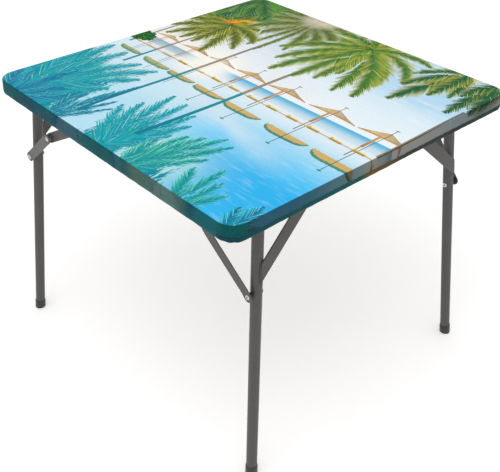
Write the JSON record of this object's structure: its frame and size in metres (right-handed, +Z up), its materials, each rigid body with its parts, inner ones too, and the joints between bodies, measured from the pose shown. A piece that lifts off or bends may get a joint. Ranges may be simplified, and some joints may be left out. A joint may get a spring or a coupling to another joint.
{
  "type": "folding table with fitted tablecloth",
  "caption": "Square folding table on two splayed steel leg frames with folding braces, dressed in a printed fitted tablecloth with an elastic hem.",
  "frame": {"origin": "on the floor, under the middle of the tabletop", "axes": "+Z up, -Y towards the front (the narrower leg frame), +X to the right"},
  "size_m": [0.8904, 0.8784, 0.7198],
  "materials": {
    "printed_polyester": "printed woven polyester, soft sheen",
    "hem_polyester": "printed woven polyester, turned in",
    "elastic": "knitted elastic",
    "board": "hardboard-faced fibreboard",
    "powder_coated_steel": "charcoal powder coat, fine texture",
    "black_plastic": "moulded",
    "bright_zinc": "bright zinc plate",
    "zinc_plate": "dull zinc plate"
  },
  "bodies": {
    "tabletop": {"tablecloth_cover": "printed_polyester", "tablecloth_hem": "hem_polyester", "tablecloth_elastic": "elastic", "tabletop_panel": "board", "tabletop_rim": "powder_coated_steel", "front_left_hinge_saddle": "zinc_plate", "front_left_saddle_screw_inner": "zinc_plate", "front_left_saddle_screw_outer": "zinc_plate", "front_left_brace_bracket": "powder_coated_steel", "front_left_bracket_pin": "bright_zinc", "front_right_hinge_saddle": "zinc_plate", "front_right_saddle_screw_inner": "zinc_plate", "front_right_saddle_screw_outer": "zinc_plate", "front_right_brace_bracket": "powder_coated_steel", "front_right_bracket_pin": "bright_zinc", "back_left_hinge_saddle": "zinc_plate", "back_left_saddle_screw_inner": "zinc_plate", "back_left_saddle_screw_outer": "zinc_plate", "back_left_brace_bracket": "powder_coated_steel", "back_left_bracket_pin": "bright_zinc", "back_right_hinge_saddle": "zinc_plate", "back_right_saddle_screw_inner": "zinc_plate", "back_right_saddle_screw_outer": "zinc_plate", "back_right_brace_bracket": "powder_coated_steel", "back_right_bracket_pin": "bright_zinc"},
    "front_leg_frame": {"front_cross_tube": "powder_coated_steel", "front_left_leg_tube": "powder_coated_steel", "front_left_foot_cap": "black_plastic", "front_left_gusset": "powder_coated_steel", "front_left_leg_rivet": "bright_zinc", "front_left_leg_bush": "black_plastic", "front_right_leg_tube": "powder_coated_steel", "front_right_foot_cap": "black_plastic", "front_right_gusset": "powder_coated_steel", "front_right_leg_rivet": "bright_zinc", "front_right_leg_bush": "black_plastic"},
    "front_left_lower_brace": {"front_left_lower_link": "powder_coated_steel", "front_left_knuckle_rivet": "bright_zinc"},
    "front_left_upper_brace": {"front_left_upper_link": "powder_coated_steel"},
    "front_right_lower_brace": {"front_right_lower_link": "powder_coated_steel", "front_right_knuckle_rivet": "bright_zinc"},
    "front_right_upper_brace": {"front_right_upper_link": "powder_coated_steel"},
    "back_leg_frame": {"back_cross_tube": "powder_coated_steel", "back_left_leg_tube": "powder_coated_steel", "back_left_foot_cap": "black_plastic", "back_left_gusset": "powder_coated_steel", "back_left_leg_rivet": "bright_zinc", "back_left_leg_bush": "black_plastic", "back_right_leg_tube": "powder_coated_steel", "back_right_foot_cap": "black_plastic", "back_right_gusset": "powder_coated_steel", "back_right_leg_rivet": "bright_zinc", "back_right_leg_bush": "black_plastic"},
    "back_left_lower_brace": {"back_left_lower_link": "powder_coated_steel", "back_left_knuckle_rivet": "bright_zinc"},
    "back_left_upper_brace": {"back_left_upper_link": "powder_coated_steel"},
    "back_right_lower_brace": {"back_right_lower_link": "powder_coated_steel", "back_right_knuckle_rivet": "bright_zinc"},
    "back_right_upper_brace": {"back_right_upper_link": "powder_coated_steel"}
  },
  "joints": [
    {"name": "front_legs_fold", "type": "hinge", "parent": "tabletop", "child": "front_leg_frame", "pos_m": [0, -0.362, 0.694], "axis": [1, 0, 0], "range_deg": [0, 90]},
    {"name": "front_left_lower_brace_turn", "type": "hinge", "parent": "front_leg_frame", "child": "front_left_lower_brace", "pos_m": [-0.34415, -0.3807, 0.488], "axis": [-1, 0, 0], "range_deg": [0, 142.47]},
    {"name": "front_left_upper_brace_turn", "type": "hinge", "parent": "tabletop", "child": "front_left_upper_brace", "pos_m": [-0.33838, -0.13924, 0.69], "axis": [1, 0, 0], "range_deg": [0, 136.85]},
    {"name": "front_right_lower_brace_turn", "type": "hinge", "parent": "front_leg_frame", "child": "front_right_lower_brace", "pos_m": [0.34415, -0.3807, 0.488], "axis": [-1, 0, 0], "range_deg": [0, 142.47]},
    {"name": "front_right_upper_brace_turn", "type": "hinge", "parent": "tabletop", "child": "front_right_upper_brace", "pos_m": [0.33838, -0.13924, 0.69], "axis": [1, 0, 0], "range_deg": [0, 136.85]},
    {"name": "back_legs_fold", "type": "hinge", "parent": "tabletop", "child": "back_leg_frame", "pos_m": [0, 0.362, 0.694], "axis": [-1, 0, 0], "range_deg": [0, 90]},
    {"name": "back_left_lower_brace_turn", "type": "hinge", "parent": "back_leg_frame", "child": "back_left_lower_brace", "pos_m": [-0.40512, 0.37879, 0.509], "axis": [1, 0, 0], "range_deg": [0, 133.75]},
    {"name": "back_left_upper_brace_turn", "type": "hinge", "parent": "tabletop", "child": "back_left_upper_brace", "pos_m": [-0.40345, 0.11766, 0.69], "axis": [-1, 0, 0], "range_deg": [0, 137.64]},
    {"name": "back_right_lower_brace_turn", "type": "hinge", "parent": "back_leg_frame", "child": "back_right_lower_brace", "pos_m": [0.40512, 0.37879, 0.509], "axis": [1, 0, 0], "range_deg": [0, 133.75]},
    {"name": "back_right_upper_brace_turn", "type": "hinge", "parent": "tabletop", "child": "back_right_upper_brace", "pos_m": [0.40345, 0.11766, 0.69], "axis": [-1, 0, 0], "range_deg": [0, 137.64]}
  ],
  "couplings": [
    {"joint": "front_left_lower_brace_turn", "follows": "front_legs_fold", "ratio": 1.5829},
    {"joint": "front_left_upper_brace_turn", "follows": "front_legs_fold", "ratio": 1.5205},
    {"joint": "front_right_lower_brace_turn", "follows": "front_legs_fold", "ratio": 1.5829},
    {"joint": "front_right_upper_brace_turn", "follows": "front_legs_fold", "ratio": 1.5205},
    {"joint": "back_left_lower_brace_turn", "follows": "back_legs_fold", "ratio": 1.486},
    {"joint": "back_left_upper_brace_turn", "follows": "back_legs_fold", "ratio": 1.5293},
    {"joint": "back_right_lower_brace_turn", "follows": "back_legs_fold", "ratio": 1.486},
    {"joint": "back_right_upper_brace_turn", "follows": "back_legs_fold", "ratio": 1.5293}
  ]
}
